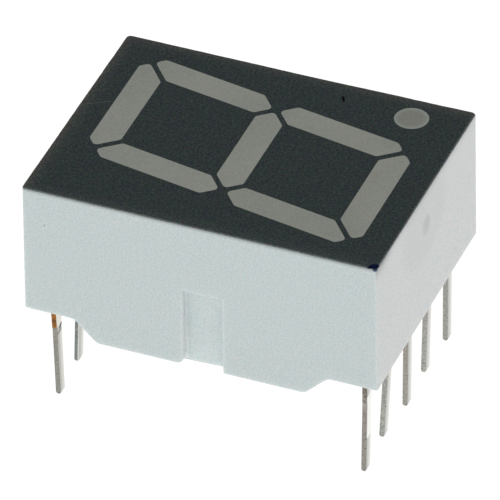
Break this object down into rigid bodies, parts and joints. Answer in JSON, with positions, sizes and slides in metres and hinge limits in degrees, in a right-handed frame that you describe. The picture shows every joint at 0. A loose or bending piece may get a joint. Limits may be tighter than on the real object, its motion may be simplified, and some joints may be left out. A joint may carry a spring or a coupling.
{
  "type": "seven segment display",
  "caption": "Single-digit seven segment LED display with decimal point: white housing, dark grey face, milky slanted segments and through-hole pins in rows at head and foot.",
  "frame": {"origin": "centre of the pin pattern on the seating plane, the plane of the skirts' feet, where the surface of a circuit board lies", "axes": "+Z out of the face, +Y towards the digit's head, +X to the digit's right; the pins point along -Z"},
  "size_m": [0.0126, 0.0171, 0.0124],
  "materials": {
    "housing": "moulded white plastic with a faint satin grain",
    "ink": "printed dark grey ink, fine speckle",
    "diffuser": "milky grey diffusing resin",
    "potting": "cast epoxy resin",
    "lead": "dull tin plating, bare copper at the trimmed tie bars",
    "die": "semiconductor crystal",
    "wire": "drawn gold wire",
    "glue": "silver-filled epoxy"
  },
  "bodies": {
    "root": {"reflector_housing": "housing", "face_ink": "ink", "potting_resin": "potting", "segment_a": "diffuser", "segment_b": "diffuser", "segment_c": "diffuser", "segment_d": "diffuser", "segment_e": "diffuser", "segment_f": "diffuser", "segment_g": "diffuser", "decimal_point": "diffuser", "lead_common": "lead", "lead_a": "lead", "lead_b": "lead", "lead_c": "lead", "lead_d": "lead", "lead_e": "lead", "lead_f": "lead", "lead_g": "lead", "lead_dp": "lead", "die_attach": "glue", "die_a": "die", "die_b": "die", "die_c": "die", "die_d": "die", "die_e": "die", "die_f": "die", "die_g": "die", "die_dp": "die", "wire_a": "wire", "wire_b": "wire", "wire_c": "wire", "wire_d": "wire", "wire_e": "wire", "wire_f": "wire", "wire_g": "wire", "wire_dp": "wire"}
  },
  "joints": []
}
